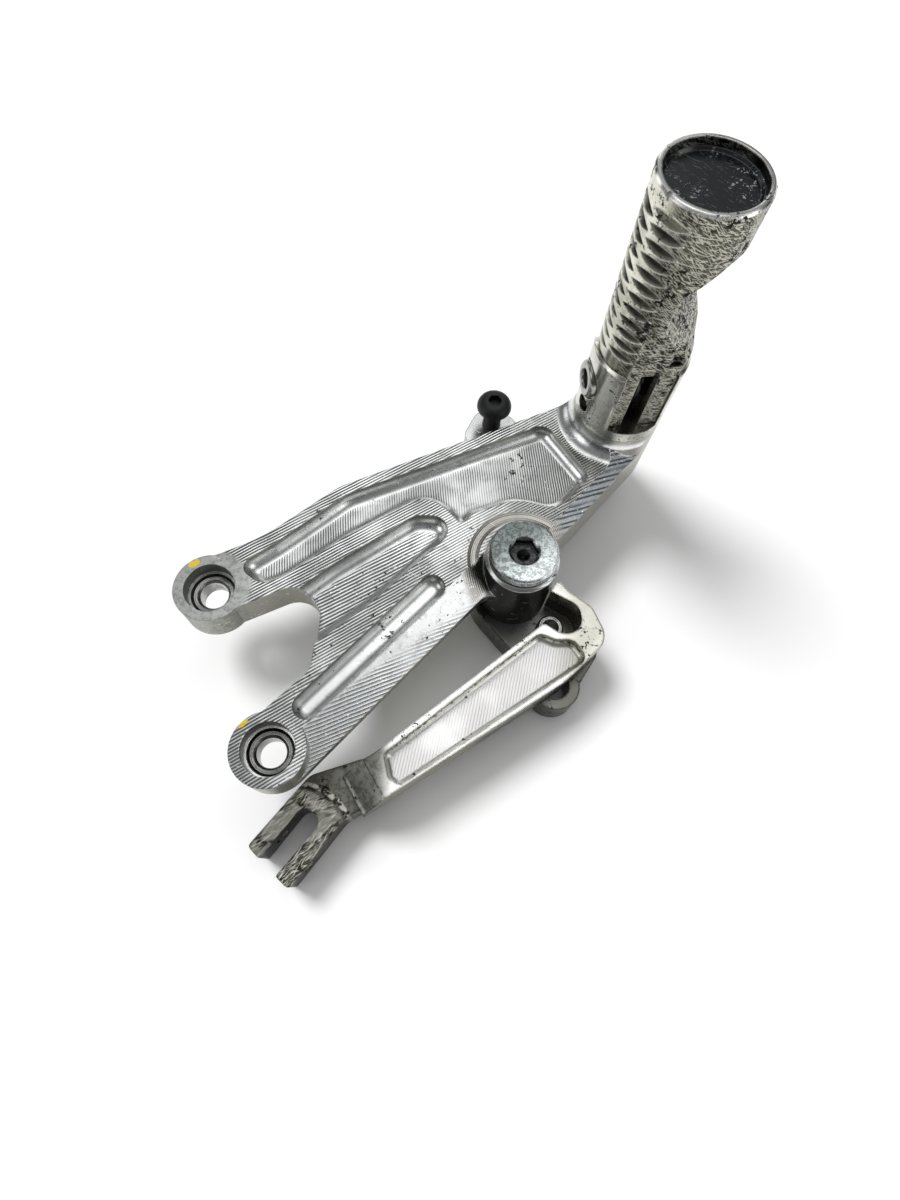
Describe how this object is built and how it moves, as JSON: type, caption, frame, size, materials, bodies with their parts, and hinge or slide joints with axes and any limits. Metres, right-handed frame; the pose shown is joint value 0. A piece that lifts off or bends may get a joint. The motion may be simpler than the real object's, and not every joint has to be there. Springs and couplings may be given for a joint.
{
  "type": "motorcycle footrest hanger",
  "caption": "Milled aluminium footrest hanger with forked mounting arms, a folding foot peg in a clevis and a pivoting gear lever that ends in a slotted fork.",
  "frame": {"origin": "axis of the upper frame bolt hole, in the plane of the inboard mounting face", "axes": "+Z outboard along the frame bolt holes and the peg, +X along the plate from the bolt arms towards the peg, +Y up across the plate as in the picture"},
  "size_m": [0.153, 0.1625, 0.1245],
  "materials": {
    "hanger_plate": "machined, clear anodised, with tool marks",
    "upper_bush": "turned",
    "lower_bush": "turned",
    "outer_bush": "turned bearing bronze",
    "inner_bush": "turned bearing bronze",
    "thrust_washer": "plain",
    "head_seal": "smooth",
    "hub_seal": "smooth",
    "pivot_screw": "zinc plated, spotted",
    "gear_lever": "machined, worn",
    "hollow_dowel": "turned",
    "clevis": "turned and milled",
    "clevis_screw": "zinc plated",
    "clevis_washer": "zinc plated",
    "clevis_dowel": "ground",
    "hinge_pin": "turned, dull",
    "pin_clip": "blackened",
    "return_spring": "drawn wire",
    "foot_peg": "polished, scraped and pitted",
    "peg_end_cap": "scratched",
    "guard_screw": "blackened"
  },
  "bodies": {
    "hanger": {"hanger_plate": "hanger_plate", "upper_bush": "upper_bush", "lower_bush": "lower_bush", "outer_bush": "outer_bush", "inner_bush": "inner_bush", "thrust_washer": "thrust_washer", "head_seal": "head_seal", "hub_seal": "hub_seal", "clevis": "clevis", "clevis_screw": "clevis_screw", "clevis_washer": "clevis_washer", "clevis_dowel": "clevis_dowel", "hinge_pin": "hinge_pin", "pin_clip": "pin_clip", "return_spring": "return_spring", "guard_screw": "guard_screw"},
    "lever": {"gear_lever": "gear_lever", "pivot_screw": "pivot_screw", "hollow_dowel": "hollow_dowel"},
    "peg": {"foot_peg": "foot_peg", "peg_end_cap": "peg_end_cap"}
  },
  "joints": [
    {"name": "lever_pivot", "type": "hinge", "parent": "hanger", "child": "lever", "pos_m": [0.0942, 0.011, -0.005], "axis": [0, 0, 1], "range_deg": [-12, 12]},
    {"name": "peg_fold", "type": "hinge", "parent": "hanger", "child": "peg", "pos_m": [0.1277, 0.0653, 0.0339], "axis": [-0.9888, -0.1495, 0], "range_deg": [0, 80], "stiffness_Nm_per_rad": 0.08, "springref_deg": -22.92}
  ]
}
